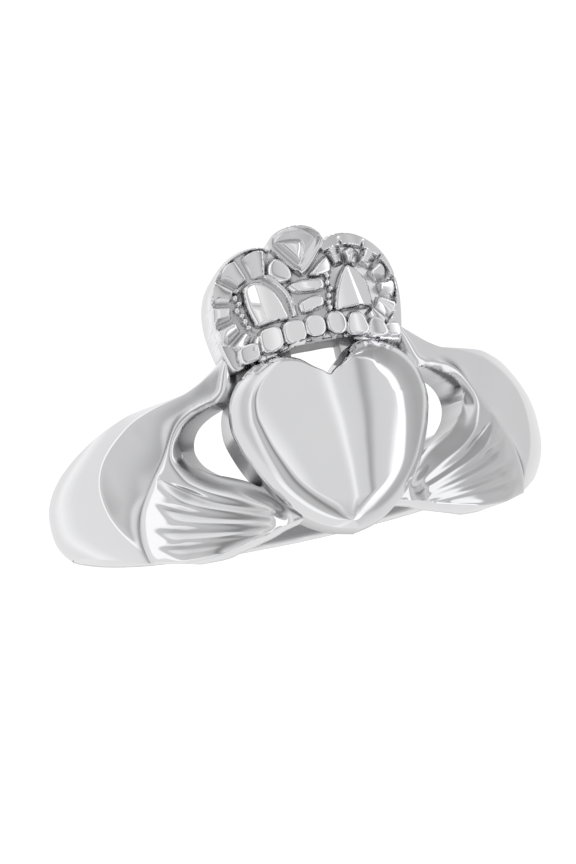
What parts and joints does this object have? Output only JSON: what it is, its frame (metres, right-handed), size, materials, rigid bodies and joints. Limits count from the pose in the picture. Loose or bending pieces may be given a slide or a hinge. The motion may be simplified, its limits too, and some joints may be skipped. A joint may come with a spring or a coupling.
{
  "type": "claddagh ring",
  "caption": "Cast silver finger ring: a tapering band becomes two cuffed hands that hold a domed heart under a beaded crown.",
  "frame": {"origin": "middle of the ring's box, on the surface it lies on", "axes": "the heart faces -Y, the crown is up (+Z), +X is to the viewer's right; the finger hole leans 9.35 degrees from +Z towards +Y"},
  "size_m": [0.021, 0.0214, 0.0129],
  "materials": {
    "silver": "polished"
  },
  "bodies": {
    "root": {"ring": "silver"}
  },
  "joints": []
}
